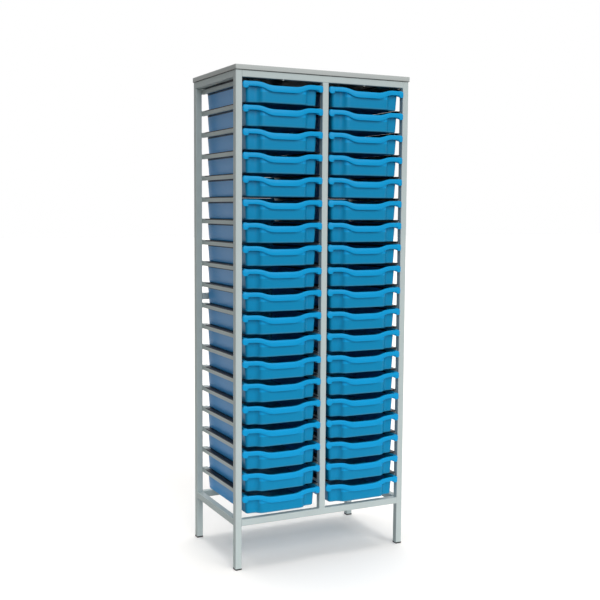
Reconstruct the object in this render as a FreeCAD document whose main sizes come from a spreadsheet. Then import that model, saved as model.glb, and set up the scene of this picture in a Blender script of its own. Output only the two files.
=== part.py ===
"""Classroom tray storage unit: a tube frame with two bays of 19 sliding trays.

Millimetres, +Z up, +X to the right seen from the front, front at -Y. The origin is on the floor
under the middle of the whole unit, tray lips included.
"""
import FreeCAD, Part

import math
import os

import Sketcher
from FreeCAD import Placement, Rotation, Vector

DRIVING_SIZES = {
    # whole unit
    "overall_height": 1850,
    "frame_width": 722,
    "frame_depth": 432,
    # top board
    "panel_thickness": 18,
    "panel_side_overhang": 2.5,
    "panel_end_overhang": 5,
    "panel_edge_radius": 1,
    # square steel tube
    "tube_size": 25,
    "tube_wall": 1.5,
    "tube_radius": 2.5,
    "bottom_rail_underside": 166.5,
    "cross_rail_middle": 990,
    # feet
    "foot_flange": 6,
    "foot_spigot": 22,
    "foot_edge_radius": 1.5,
    "spigot_clearance": 0.1,
    # runners, a steel channel open towards the tray, its upper flange the broader one
    "runner_face": 18,
    "runner_flange": 12,
    "runner_top_flange": 22,
    "runner_gauge": 1.2,
    "runner_rise": 9.5,
    "runner_setback": 17,
    # spacing of the trays
    "tray_levels": 19,
    "level_pitch": 84,
    "lowest_lip": 282,
    # one tray, sizes over all
    "tray_length": 427,
    "tray_height": 75,
    "lip_width": 324,
    "rim_width": 312,
    "lip_reach": 20,
    "lip_bow": 12,
    # one tray, its walls
    "body_width_top": 289,
    "body_width_base": 279,
    "tray_wall": 2,
    "front_inset": 9,
    "front_step": 18,
    "front_draft": 2.5,
    "rear_inset": 5,
    "rear_draft": 4,
    "step_inner": 76,
    "step_outer": 112,
    "front_corner": 12,
    "rear_corner": 14,
    "base_radius": 5,
    # one tray, its rim and the stop that stands on it round the rear
    "rim_skirt": 6.8,
    "rear_stop_rise": 7.5,
    "rear_stop_reach": 8,
    # one tray, its wavy lip, levels measured down from the rim's top
    "lip_stand_off": 1,
    "lip_high": 1.5,
    "lip_dip": 13.5,
    "lip_low_end": 26,
    "lip_low_flank": 18,
    "lip_low_middle": 36,
    "wave_inner": 38,
    "wave_outer": 114,
    "lip_corner": 9,
    "lip_plan_corner": 6,
    "end_stub": 15,
    "end_stub_turn": 8,
    # one tray, the pockets behind the lip's two high stretches
    "pocket_start": 88,
    "pocket_depth": 15.5,
    "lip_bead": 5,
    # screws that hold the board
    "screw_hole": 5,
    "screw_shank": 4,
    "screw_head": 8,
    "screw_head_height": 2.5,
    "screw_bite": 12,
    "screw_spacing": 340,
}

CLEAR_ABOVE = 5          # how far a cutting body runs past the face it cuts
GROUPS = {               # runner column: side of the bay that it lines, as (bay, wall)
    "left_side_runners": (-1, -1),
    "left_middle_runners": (-1, 1),
    "right_middle_runners": (1, -1),
    "right_side_runners": (1, 1),
}
BAYS = {"left": -1, "right": 1}

doc = FreeCAD.newDocument("tray_storage_unit")


# ---------------------------------------------------------------- spreadsheet and helpers
def make_sheet():
    """Write the driving dimensions to a spreadsheet, one aliased cell each."""
    book = doc.addObject("Spreadsheet::Sheet", "dims")
    for row, (alias, value) in enumerate(DRIVING_SIZES.items(), start=1):
        book.set(f"A{row}", alias.replace("_", " "))
        book.set(f"B{row}", str(value))
        book.setAlias(f"B{row}", alias)
    doc.recompute()
    return book


sheet = make_sheet()


def size(alias):
    """The value of one cell, for geometry that code works out."""
    return float(sheet.get(alias))


def bind(item, **rules):
    """Bind properties to the sheet; x, y and z are the parts of the Placement's base."""
    places = {"x": "Placement.Base.x", "y": "Placement.Base.y", "z": "Placement.Base.z"}
    for name, rule in rules.items():
        item.setExpression(places.get(name, name), rule)


SETBACK = "(dims.lip_reach - dims.panel_end_overhang) / 2"   # from the origin to the frame's middle
POST_X = "(dims.frame_width - dims.tube_size) / 2"
POST_Y = "(dims.frame_depth - dims.tube_size) / 2"
BAY_X = "dims.frame_width / 4 - dims.tube_size / 4"
TOP_OF_FRAME = "dims.overall_height - dims.panel_thickness"


def origin_plane(body, role):
    """The origin plane of a body, such as XY_Plane."""
    return next(item for item in body.Origin.OriginFeatures if item.Role == role)


def new_body(label):
    """An empty PartDesign body with a label of its own."""
    body = doc.addObject("PartDesign::Body", label)
    body.Label = label
    return body


def add_sketch(body, name, role="XY_Plane"):
    """A sketch on one of its own body's origin planes."""
    sketch = body.newObject("Sketcher::SketchObject", name)
    sketch.AttachmentSupport = (origin_plane(body, role), [""])
    sketch.MapMode = "FlatFace"
    return sketch


def centred_rectangle(sketch, width_rule, height_rule):
    """A rectangle about the sketch's origin whose two sides are bound to the sheet."""
    corners = [Vector(-5, -5, 0), Vector(5, -5, 0), Vector(5, 5, 0), Vector(-5, 5, 0)]
    first = len(sketch.Geometry)
    for start, end in zip(corners, corners[1:] + corners[:1]):
        sketch.addGeometry(Part.LineSegment(start, end))
    for step in range(4):
        line, following = first + step, first + (step + 1) % 4
        sketch.addConstraint(Sketcher.Constraint("Coincident", line, 2, following, 1))
        sketch.addConstraint(Sketcher.Constraint("Vertical" if step % 2 else "Horizontal", line))
    sketch.addConstraint(Sketcher.Constraint("Symmetric", first, 1, first + 2, 1, -1, 1))
    wide = sketch.addConstraint(Sketcher.Constraint("DistanceX", first, 1, first, 2, 10))
    tall = sketch.addConstraint(Sketcher.Constraint("DistanceY", first + 1, 1, first + 1, 2, 10))
    sketch.setExpression(f"Constraints[{wide}]", width_rule)
    sketch.setExpression(f"Constraints[{tall}]", height_rule)


def bound_circle(sketch, centre, diameter_rule):
    """A circle at a point of the sketch, its diameter bound to the sheet."""
    circle = sketch.addGeometry(Part.Circle(Vector(centre[0], centre[1], 0), Vector(0, 0, 1), 2))
    sketch.addConstraint(Sketcher.Constraint("DistanceX", -1, 1, circle, 3, centre[0]))
    sketch.addConstraint(Sketcher.Constraint("DistanceY", -1, 1, circle, 3, centre[1]))
    across = sketch.addConstraint(Sketcher.Constraint("Diameter", circle, 4))
    sketch.setExpression(f"Constraints[{across}]", diameter_rule)


def pad(body, sketch, length_rule):
    """Pad a sketch of the body by a bound length."""
    feature = body.newObject("PartDesign::Pad", sketch.Name + "_pad")
    feature.Profile = sketch
    feature.setExpression("Length", length_rule)
    doc.recompute()
    return feature


def pocket_through(body, sketch):
    """Pocket a sketch through the body both ways, and make sure that it took material away."""
    before = body.Shape.Volume
    feature = body.newObject("PartDesign::Pocket", sketch.Name + "_pocket")
    feature.Profile = sketch
    feature.Type = "ThroughAll"
    feature.Midplane = True
    doc.recompute()
    if body.Shape.Volume >= before:
        raise RuntimeError(f"{feature.Name} cuts nothing")
    return feature


def round_edges(body, base, edge_names, radius_rule):
    """Round the named edges of a feature by a bound radius."""
    feature = body.newObject("PartDesign::Fillet", base.Name + "_round")
    feature.Base = (base, edge_names)
    feature.setExpression("Radius", radius_rule)
    doc.recompute()
    return feature


def edges_where(shape, test):
    """Names of the edges of a shape whose two ends both pass a test."""
    return [f"Edge{number}" for number, edge in enumerate(shape.Edges, start=1)
            if all(test(corner.Point) for corner in edge.Vertexes)]


def long_edges(shape, reach):
    """Names of the edges along Z whose ends lie a stated distance out from the Z axis."""
    names = []
    for number, edge in enumerate(shape.Edges, start=1):
        first, last = edge.Vertexes[0].Point, edge.Vertexes[-1].Point
        along = abs(first.z - last.z) > 1 and abs(first.x - last.x) < 1e-6
        if along and abs(abs(first.x) - reach) < 1e-6 and abs(abs(first.y) - reach) < 1e-6:
            names.append(f"Edge{number}")
    return names


# ---------------------------------------------------------------- frame
UPRIGHT = Rotation()
ALONG_X = Rotation(Vector(0, 1, 0), 90)
ALONG_Y = Rotation(Vector(1, 0, 0), -90)


def square_tube(label, length_rule, turn, **place):
    """A hollow square tube that starts at its placement and runs along its own Z."""
    body = new_body(label)
    section = add_sketch(body, label + "_section")
    centred_rectangle(section, "dims.tube_size", "dims.tube_size")
    bore = "dims.tube_size - 2 * dims.tube_wall"
    centred_rectangle(section, bore, bore)
    tube = pad(body, section, length_rule)
    round_edges(body, tube, long_edges(tube.Shape, size("tube_size") / 2), "dims.tube_radius")
    body.Placement = Placement(Vector(), turn)
    bind(body, **place)
    return body


def drill_rail(name, side_plane, distances):
    """Clearance holes through both walls of a rail, at distances from its start."""
    body = doc.getObject(name)
    holes = add_sketch(body, name + "_holes", side_plane)
    for distance in distances:
        bound_circle(holes, (0, distance), "dims.screw_hole")
    pocket_through(body, holes)


def make_posts():
    """Four legs to the floor and two middle posts between the rails."""
    posts = []
    for end, sign in (("front", "-"), ("rear", "")):
        for side, x_rule in (("left", f"-{POST_X}"), ("middle", "0"), ("right", POST_X)):
            low = "dims.foot_flange"
            high = TOP_OF_FRAME
            if side == "middle":
                low = "dims.bottom_rail_underside + dims.tube_size"
                high = f"{TOP_OF_FRAME} - dims.tube_size"
            posts.append(square_tube(
                f"{end}_{side}_post", f"{high} - ({low})", UPRIGHT,
                x=x_rule, y=f"{sign}{POST_Y} + {SETBACK}", z=low))
    return posts


def make_rails():
    """Top and bottom rings of rails, flush with the posts' outer faces."""
    rails = []
    heights = {"top": f"{TOP_OF_FRAME} - dims.tube_size / 2",
               "bottom": "dims.bottom_rail_underside + dims.tube_size / 2"}
    for level, height in heights.items():
        for end, sign in (("front", "-"), ("rear", "")):
            rails.append(square_tube(
                f"{level}_{end}_rail", "dims.frame_width - 2 * dims.tube_size", ALONG_X,
                x="-(dims.frame_width / 2 - dims.tube_size)", y=f"{sign}{POST_Y} + {SETBACK}",
                z=height))
        for side, sign in (("left", "-"), ("right", "")):
            rails.append(square_tube(
                f"{level}_{side}_rail", "dims.frame_depth - 2 * dims.tube_size", ALONG_Y,
                x=f"{sign}{POST_X}", z=height,
                y=f"-(dims.frame_depth / 2 - dims.tube_size) + {SETBACK}"))
    return rails


def drill_top_rails():
    """Drill the four top rails where the board's screws pass."""
    across = size("frame_width") / 2 - size("tube_size")
    along = size("frame_depth") / 2 - size("tube_size")
    apart = size("screw_spacing") / 2
    for end in ("front", "rear"):
        drill_rail(f"top_{end}_rail", "YZ_Plane", [across - apart, across + apart])
    for side in ("left", "right"):
        drill_rail(f"top_{side}_rail", "XZ_Plane", [along])


def make_cross_rails():
    """The rear cross rail, in one length behind each bay."""
    length = "(dims.frame_width - 3 * dims.tube_size) / 2"
    halves = []
    for side, start in (("left", "-(dims.frame_width / 2 - dims.tube_size)"),
                        ("right", "dims.tube_size / 2")):
        halves.append(square_tube(
            f"cross_rail_{side}_half", length, ALONG_X, x=start, y=f"{POST_Y} + {SETBACK}",
            z="dims.cross_rail_middle"))
    return group("rear_cross_rails", halves)


# ---------------------------------------------------------------- groups and copies
def copy_of(master, label, **place):
    """A linked copy of a piece, placed from the sheet."""
    copy = doc.addObject("App::Link", label)
    copy.LinkedObject = master
    copy.Label = label
    bind(copy, **place)
    return copy


def group(label, members):
    """Several separate solids under one label."""
    compound = doc.addObject("Part::Compound", label)
    compound.Label = label
    compound.Links = members
    doc.recompute()
    return compound


# ---------------------------------------------------------------- board, feet and screws
def make_panel():
    """The top board, with blind pilot holes for its screws."""
    body = new_body("top_panel")
    outline = add_sketch(body, "panel_outline")
    centred_rectangle(outline, "dims.frame_width + 2 * dims.panel_side_overhang",
                      "dims.frame_depth + 2 * dims.panel_end_overhang")
    board = pad(body, outline, "dims.panel_thickness")
    thickness = size("panel_thickness")
    around = edges_where(board.Shape, lambda point: abs(point.z - thickness) < 1e-6)
    round_edges(body, board, around, "dims.panel_edge_radius")
    holes = add_sketch(body, "panel_pilot_holes")
    for x, y in screw_points():
        bound_circle(holes, (x, y), "dims.screw_shank")
    before = body.Shape.Volume
    pilot = body.newObject("PartDesign::Pocket", "panel_pilot_pocket")
    pilot.Profile = holes
    pilot.setExpression("Length", "dims.screw_bite")
    pilot.Reversed = True
    doc.recompute()
    if body.Shape.Volume >= before:
        raise RuntimeError("the pilot holes cut nothing")
    bind(body, y=SETBACK, z=TOP_OF_FRAME)
    return body


def screw_points():
    """Where the board's screws stand, from the middle of the frame."""
    post_x = (size("frame_width") - size("tube_size")) / 2
    post_y = (size("frame_depth") - size("tube_size")) / 2
    apart = size("screw_spacing") / 2
    return [(-apart, -post_y), (apart, -post_y), (-apart, post_y), (apart, post_y),
            (-post_x, 0), (post_x, 0)]


def make_screws():
    """Six pan-head screws from under the top rails up into the board."""
    head = doc.addObject("Part::Cylinder", "screw_head_disc")
    bind(head, Radius="dims.screw_head / 2", Height="dims.screw_head_height")
    shank = doc.addObject("Part::Cylinder", "screw_shank_rod")
    bind(shank, Radius="dims.screw_shank / 2 - 0.02",
         Height="dims.tube_size + dims.screw_bite - 0.5 + dims.screw_head_height")
    screw = doc.addObject("Part::Fuse", "panel_screw")
    screw.Base = head
    screw.Tool = shank
    doc.recompute()
    copies = []
    for number, (x, y) in enumerate(screw_points(), start=1):
        copies.append(copy_of(
            screw, f"panel_screw_{number}", x=str(x), y=f"{y} + {SETBACK}",
            z=f"{TOP_OF_FRAME} - dims.tube_size - dims.screw_head_height"))
    return group("panel_screws", copies)


def make_feet():
    """Four plastic glides, each with a spigot that presses into its leg."""
    master = new_body("foot_glide")
    sole = add_sketch(master, "foot_sole")
    centred_rectangle(sole, "dims.tube_size", "dims.tube_size")
    flange = pad(master, sole, "dims.foot_flange")
    under = edges_where(flange.Shape, lambda point: abs(point.z) < 1e-6)
    round_edges(master, flange, under, "dims.foot_edge_radius")
    plug = add_sketch(master, "foot_plug")
    side = "dims.tube_size - 2 * dims.tube_wall - 2 * dims.spigot_clearance"
    centred_rectangle(plug, side, side)
    pad(master, plug, "dims.foot_flange + dims.foot_spigot")
    copies = []
    for end, y_sign in (("front", "-"), ("rear", "")):
        for side_name, x_sign in (("left", "-"), ("right", "")):
            copies.append(copy_of(master, f"{end}_{side_name}_foot",
                                  x=f"{x_sign}{POST_X}", y=f"{y_sign}{POST_Y} + {SETBACK}"))
    return group("feet", copies)


# ---------------------------------------------------------------- runners
def make_runner_profile():
    """One runner: a channel whose web faces -X and whose mouth opens to +X, along Y."""
    body = new_body("runner_channel")
    section = add_sketch(body, "runner_section", "XZ_Plane")
    face, reach, gauge = size("runner_face"), size("runner_flange"), size("runner_gauge")
    top_reach = size("runner_top_flange")
    corners = [(0, 0), (reach, 0), (reach, gauge), (gauge, gauge), (gauge, face - gauge),
               (top_reach, face - gauge), (top_reach, face), (0, face)]
    points = [Vector(x, z, 0) for x, z in corners]
    for start, end in zip(points, points[1:] + points[:1]):
        section.addGeometry(Part.LineSegment(start, end))
    count = len(points)
    for line in range(count):
        section.addConstraint(Sketcher.Constraint("Coincident", line, 2, (line + 1) % count, 1))
        section.addConstraint(Sketcher.Constraint("Vertical" if line % 2 else "Horizontal", line))
    section.addConstraint(Sketcher.Constraint("Coincident", 0, 1, -1, 1))
    lengths = [("DistanceX", (0, 1, 0, 2), reach, "dims.runner_flange"),
               ("DistanceX", (6, 2, 6, 1), top_reach, "dims.runner_top_flange"),
               ("DistanceX", (7, 1, 3, 1), gauge, "dims.runner_gauge"),
               ("DistanceY", (1, 1, 1, 2), gauge, "dims.runner_gauge"),
               ("DistanceY", (5, 1, 5, 2), gauge, "dims.runner_gauge"),
               ("DistanceY", (7, 2, 7, 1), face, "dims.runner_face")]
    for kind, ends, value, rule in lengths:
        number = section.addConstraint(Sketcher.Constraint(kind, *ends, value))
        section.setExpression(f"Constraints[{number}]", rule)
    length = pad(body, section, "dims.frame_depth - 2 * dims.runner_setback")
    length.Midplane = True
    doc.recompute()
    return body


def make_runners():
    """Four columns of runners, one channel at each level of each side of both bays."""
    left_hand = make_runner_profile()
    right_hand = doc.addObject("Part::Mirroring", "runner_channel_right")
    right_hand.Source = left_hand
    right_hand.Normal = Vector(1, 0, 0)
    doc.recompute()
    half_bay = "(dims.frame_width - 3 * dims.tube_size) / 4"
    columns = []
    for label, (bay, wall) in GROUPS.items():
        master = left_hand if wall < 0 else right_hand
        copies = []
        for level in range(int(size("tray_levels"))):
            copies.append(copy_of(
                master, f"{label}_{level + 1:02d}",
                x=f"{bay} * ({BAY_X}) + {wall} * {half_bay}", y=SETBACK,
                z=f"dims.lowest_lip + {level} * dims.level_pitch"
                  " + dims.runner_rise - dims.runner_face"))
        columns.append(group(label, copies))
    return columns


# ---------------------------------------------------------------- one tray
# An outline's edge is the points it passes: two for a straight line, three for an arc.
def sway(start, end):
    """Two equal tangent arcs that leave and arrive level, as a gentle S."""
    run, rise = end[0] - start[0], end[1] - start[1]
    middle = ((start[0] + end[0]) / 2, (start[1] + end[1]) / 2)
    half_turn = math.atan2(abs(rise), abs(run))
    radius = (run ** 2 + rise ** 2) / (4 * abs(rise))
    step_x = math.copysign(radius * math.sin(half_turn), run)
    step_y = math.copysign(radius * (1 - math.cos(half_turn)), rise)
    return [(start, (start[0] + step_x, start[1] + step_y), middle),
            (middle, (end[0] - step_x, end[1] - step_y), end)]


def quarter(start, corner, end):
    """A round corner between two square edges, as an arc through its middle."""
    radius = abs(corner[0] - start[0]) + abs(corner[1] - start[1])
    centre = (start[0] + end[0] - corner[0], start[1] + end[1] - corner[1])
    reach = radius / math.sqrt(2)
    middle = (centre[0] + math.copysign(reach, corner[0] - centre[0]),
              centre[1] + math.copysign(reach, corner[1] - centre[1]))
    return (start, middle, end)


def mirrored(edges):
    """The same edges on the other side of the sketch's Y axis."""
    return [tuple((-x, y) for x, y in edge) for edge in edges]


def free_sketch(name, edges, turn=UPRIGHT, offset=Vector()):
    """A sketch that holds worked-out edges, in the tray's own frame."""
    sketch = doc.addObject("Sketcher::SketchObject", name)
    sketch.Placement = Placement(offset, turn)
    for edge in edges:
        points = [Vector(x, y, 0) for x, y in edge]
        sketch.addGeometry(Part.Arc(*points) if len(points) == 3 else Part.LineSegment(*points))
    return sketch


def front_line():
    """Y of the tray's front wall at the rim, in the middle of the tray."""
    return -(size("frame_depth") / 2 + size("lip_reach")) + size("front_inset")


def wall_outline(name, height, inset):
    """Plan of the tray's walls at a height below the rim, taken in by an inset."""
    depth = -height / size("tray_height")
    half_top, half_base = size("body_width_top") / 2, size("body_width_base") / 2
    half = half_top + (half_base - half_top) * depth - inset
    middle = front_line() + size("front_draft") * depth + inset
    wing = middle + size("front_step")
    rim_end = front_line() - size("front_inset") + size("tray_length")
    rear = rim_end - size("rear_inset") - size("rear_draft") * depth - inset
    front_round, rear_round = size("front_corner") - inset, size("rear_corner") - inset
    step_in, step_out = size("step_inner"), size("step_outer")
    right = [
        *sway((step_in, middle), (step_out, wing)),
        ((step_out, wing), (half - front_round, wing)),
        quarter((half - front_round, wing), (half, wing), (half, wing + front_round)),
        ((half, wing + front_round), (half, rear - rear_round)),
        quarter((half, rear - rear_round), (half, rear), (half - rear_round, rear)),
    ]
    edges = [((-step_in, middle), (step_in, middle)), *right,
             ((half - rear_round, rear), (-(half - rear_round), rear)), *mirrored(right)]
    return free_sketch(name, edges, offset=Vector(0, 0, height))


def wall_loft(name, top, base, inset):
    """The solid between plans of the tray's walls, its lower edge turned in by two bevels."""
    radius = size("base_radius") - inset
    loft = doc.addObject("Part::Loft", name)
    sections = [wall_outline(f"{name}_top", top, inset)]
    for degrees in (0, 45, 90):
        turn = math.radians(degrees)
        sections.append(wall_outline(f"{name}_{degrees}", base + radius * (1 - math.sin(turn)),
                                     inset + radius * (1 - math.cos(turn))))
    loft.Sections = sections
    loft.Solid = True
    loft.Ruled = True
    doc.recompute()
    return loft


def extrusion(name, sketch, length_rule=None, length=None):
    """A solid extruded from a sketch along its normal."""
    solid = doc.addObject("Part::Extrusion", name)
    solid.Base = sketch
    solid.DirMode = "Normal"
    solid.Solid = True
    if length_rule:
        solid.setExpression("LengthFwd", length_rule)
    else:
        solid.LengthFwd = length
    return solid


def combine(kind, name, *shapes):
    """A boolean of two or more shapes: Cut, MultiFuse or Common."""
    result = doc.addObject("Part::" + kind, name)
    if kind == "MultiFuse":
        result.Shapes = list(shapes)
    else:
        result.Base, result.Tool = shapes
    doc.recompute()
    return result


def lip_line(across):
    """Y of the lip's bowed front at a distance from the tray's middle."""
    reach, bow = size("lip_width") / 2 - size("lip_plan_corner"), size("lip_bow")
    radius = (reach ** 2 + bow ** 2) / (2 * bow)
    tip = -(size("frame_depth") / 2 + size("lip_reach"))
    return tip + radius - math.sqrt(radius ** 2 - across ** 2)


def stub_front():
    """Y of the front of the lip's ends."""
    return -(size("frame_depth") / 2 + size("lip_reach") - size("lip_bow"))


def stub_back():
    """Y of the back of the lip's end stubs, just in front of the posts."""
    return -(size("frame_depth") / 2 + size("lip_stand_off"))


def lip_root():
    """Y where the lip ends behind, level with the end of the body's front corners."""
    return front_line() + size("front_step") + size("front_corner")


def rim_outline(name, inset, height):
    """Plan of the rim that runs back from the lip and round the tray's rear."""
    half = size("rim_width") / 2 - inset
    front = stub_back() - size("tray_wall") + inset
    rear = front_line() - size("front_inset") + size("tray_length") - inset
    radius = size("rear_corner") + size("rear_inset") - inset
    right = [((half, front), (half, rear - radius)),
             quarter((half, rear - radius), (half, rear), (half - radius, rear))]
    edges = [((-half, front), (half, front)), *right,
             ((half - radius, rear), (-(half - radius), rear)), *mirrored(right)]
    return free_sketch(name, edges, offset=Vector(0, 0, height))


def make_rim():
    """A flange with a turned-down edge, the part of the tray that slides on the runners."""
    skirt, wall = size("rim_skirt"), size("tray_wall")
    block = extrusion("rim_block", rim_outline("rim_plan", 0, -skirt), "dims.rim_skirt")
    hollow = extrusion("rim_hollow", rim_outline("rim_inner_plan", wall, -skirt - CLEAR_ABOVE),
                       length=skirt + CLEAR_ABOVE - wall)
    return combine("Cut", "rim", block, hollow)


def make_rear_stop():
    """A low upright edge round the tray's rear, which keeps things from sliding off behind."""
    wall, rise = size("tray_wall"), size("rear_stop_rise")
    thickness = size("rear_inset") + wall / 2
    outside = extrusion("stop_outside", rim_outline("stop_plan", 0, -wall),
                        "dims.rear_stop_rise + dims.tray_wall")
    inside = extrusion("stop_inside",
                       rim_outline("stop_inner_plan", thickness, -wall - CLEAR_ABOVE),
                       length=rise + wall + 2 * CLEAR_ABOVE)
    zone = doc.addObject("Part::Box", "stop_zone")
    bind(zone, Length="dims.rim_width", Width="dims.rear_stop_reach",
         Height="dims.rear_stop_rise + dims.tray_wall", x="-dims.rim_width / 2",
         y="dims.tray_length - dims.frame_depth / 2 - dims.lip_reach - dims.rear_stop_reach",
         z="-dims.tray_wall")
    doc.recompute()
    return combine("Common", "rear_stop", combine("Cut", "stop_edge", outside, inside), zone)


def lip_plan(name, hollow):
    """Prism over the lip's plan: a bowed front, round ends and shallow stubs at both ends."""
    inset = size("tray_wall") if hollow else 0
    half = size("lip_width") / 2 - inset
    ends = stub_front() + inset
    radius = size("lip_plan_corner") - inset
    root, back, inner = lip_root(), stub_back(), size("body_width_top") / 2
    flank = [quarter((half - radius, ends), (half, ends), (half, ends + radius))]
    if hollow:
        inner = half
        flank.append(((half, ends + radius), (half, root)))
    else:
        flank += [((half, ends + radius), (half, back)), ((half, back), (inner, back)),
                  ((inner, back), (inner, root))]
    bow = ((-(half - radius), ends), (0, ends - size("lip_bow")), (half - radius, ends))
    edges = [bow, *flank, ((inner, root), (-inner, root)), *mirrored(flank)]
    depth = size("lip_low_middle") + CLEAR_ABOVE
    sketch = free_sketch(name + "_plan", edges, offset=Vector(0, 0, -depth))
    return extrusion(name + "_prism", sketch, length=depth)


FACING_FRONT = Rotation(Vector(1, 0, 0), 90)


def seen_from_front(name, edges):
    """Prism over edges drawn in elevation, from ahead of the lip to its root."""
    front = -(size("frame_depth") / 2 + size("lip_reach") + CLEAR_ABOVE)
    sketch = free_sketch(name + "_elevation", edges, FACING_FRONT, Vector(0, lip_root(), 0))
    return extrusion(name + "_band", sketch, length=lip_root() - front)


def lip_elevation(name, hollow):
    """Prism through the lip seen from the front: the band between its two wavy edges."""
    wall = size("tray_wall") if hollow else 0
    half, corner = size("lip_width") / 2, size("lip_corner")
    low_half, high_half = size("wave_inner"), size("wave_outer")
    top, dip = -size("lip_high") - wall, -size("lip_dip") - wall
    middle, flank, end = (-size(f"lip_low_{part}") for part in ("middle", "flank", "end"))
    right = sway((low_half, dip), (high_half, top))
    if hollow:
        middle, low_half = middle - CLEAR_ABOVE, half
        right += [((high_half, top), (half, top)), ((half, top), (half, middle))]
    else:
        stub = half - size("end_stub")
        turn = stub - size("end_stub_turn")
        right += [
            ((high_half, top), (half - corner, top)),
            quarter((half - corner, top), (half, top), (half, top - corner)),
            ((half, top - corner), (half, end + corner)),
            quarter((half, end + corner), (half, end), (half - corner, end)),
            ((half - corner, end), (stub, end)),
            *sway((stub, end), (turn, flank)),
            ((turn, flank), (high_half, flank)),
            *sway((high_half, flank), (low_half, middle)),
        ]
    level = size("wave_inner")
    edges = [((-level, dip), (level, dip)), *right, ((low_half, middle), (-low_half, middle)),
             *mirrored(right)]
    return seen_from_front(name, edges)


def make_lip():
    """The wavy lip: open below in its middle and its end stubs, a low trough between them."""
    wall = size("tray_wall")
    block = combine("Common", "lip_block", lip_plan("lip", hollow=False),
                    lip_elevation("lip", hollow=False))
    hollow = combine("Common", "lip_hollow", lip_plan("lip_inner", hollow=True),
                     lip_elevation("lip_inner", hollow=True))
    start, end = size("pocket_start") - 2 * wall, size("body_width_top") / 2 + wall
    deep, high = -size("lip_low_middle") - 2 * CLEAR_ABOVE, CLEAR_ABOVE
    right = [((start, deep), (end, deep)), ((end, deep), (end, high)),
             ((end, high), (start, high)), ((start, high), (start, deep))]
    solid_part = seen_from_front("lip_solid_part", [*right, *mirrored(right)])
    doc.recompute()
    return combine("Cut", "lip_shell", block, combine("Cut", "lip_caves", hollow, solid_part))


def make_pockets():
    """Room behind the lip's two high stretches, open above and towards the tray."""
    start, end = size("pocket_start"), size("body_width_top") / 2 - size("tray_wall")
    back = lip_root()
    bead = tuple((x, lip_line(x) + size("lip_bead")) for x in (start, (start + end) / 2, end))
    right = [bead, (bead[-1], (end, back)), ((end, back), (start, back)), ((start, back), bead[0])]
    sketch = free_sketch("pocket_plan", [*right, *mirrored(right)],
                         offset=Vector(0, 0, -size("pocket_depth")))
    return extrusion("pocket_prisms", sketch, length=size("pocket_depth") + CLEAR_ABOVE)


def make_dip():
    """What is taken off the top of the front wall so that it follows the lip's wave."""
    low_half, high_half = size("wave_inner"), size("wave_outer")
    edge = size("body_width_top") / 2 - size("tray_wall")
    dip, high = -size("lip_dip"), -size("lip_high")
    right = [*sway((low_half, dip), (high_half, high)), ((high_half, high), (edge, high)),
             ((edge, high), (edge, CLEAR_ABOVE))]
    edges = [((-low_half, dip), (low_half, dip)), *right,
             ((edge, CLEAR_ABOVE), (-edge, CLEAR_ABOVE)), *mirrored(right)]
    return seen_from_front("dip_cutter", edges)


def make_tray():
    """One moulded tray, its rim's top face at Z 0 and the frame's middle at Y 0."""
    height, wall = size("tray_height"), size("tray_wall")
    outside = wall_loft("tray_outside", 0, -height, 0)
    inside = wall_loft("tray_inside", CLEAR_ABOVE, -height + wall, wall)
    solid = combine("MultiFuse", "tray_solid", outside, make_rim(), make_lip())
    open_top = combine("Cut", "tray_open", solid, inside)
    pocketed = combine("Cut", "tray_pocketed", open_top, make_pockets())
    waved = combine("Cut", "tray_waved", pocketed, make_dip())
    return combine("MultiFuse", "tray_moulding", waved, make_rear_stop())


def make_trays():
    """Both columns of trays, numbered from the top."""
    moulding = make_tray()
    levels = int(size("tray_levels"))
    trays = []
    for bay_name, bay in BAYS.items():
        for number in range(1, levels + 1):
            trays.append(copy_of(
                moulding, f"{bay_name}_tray_{number:02d}", x=f"{bay} * ({BAY_X})", y=SETBACK,
                z=f"dims.lowest_lip + {levels - number} * dims.level_pitch"))
    return trays


# ---------------------------------------------------------------- build, test and write
def build():
    """Every node of the unit, in the order that it is put together."""
    pieces = [*make_posts(), *make_rails()]
    drill_top_rails()
    pieces += [make_cross_rails(), *make_runners(), make_feet(), make_panel(), make_screws()]
    pieces += make_trays()
    doc.recompute()
    return pieces


def check(pieces):
    """Stop on any object that failed to recompute and on any shape that isn't sound."""
    for item in doc.Objects:
        if "Invalid" in item.State or "Error" in item.State:
            raise RuntimeError(f"{item.Label} failed: {item.State}")
    for piece in pieces:
        shape = piece.Shape
        if shape.isNull() or not shape.isValid() or shape.Volume <= 0:
            raise RuntimeError(f"{piece.Label} has no sound shape")


def write(pieces):
    """One STEP file for each node, named by its label."""
    os.makedirs("parts", exist_ok=True)
    for piece in pieces:
        piece.Shape.exportStep(f"parts/{piece.Label}.step")
        box = piece.Shape.BoundBox
        print(f"{piece.Label:22s} {len(piece.Shape.Solids):3d} solids"
              f"  z {box.ZMin:8.1f} to {box.ZMax:8.1f}  volume {piece.Shape.Volume / 1000:9.1f} cm3")


nodes = build()
check(nodes)
write(nodes)
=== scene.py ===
"""Looks of a classroom tray storage unit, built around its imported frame.

Metres, +Z up, +X to the right seen from the front, tray fronts at -Y.
"""
from __future__ import annotations

import logging
import math
from collections.abc import Sequence
from dataclasses import dataclass, field
from enum import Enum
from typing import TypeAlias

import bmesh
import bpy
from mathutils import Matrix, Vector

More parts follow.
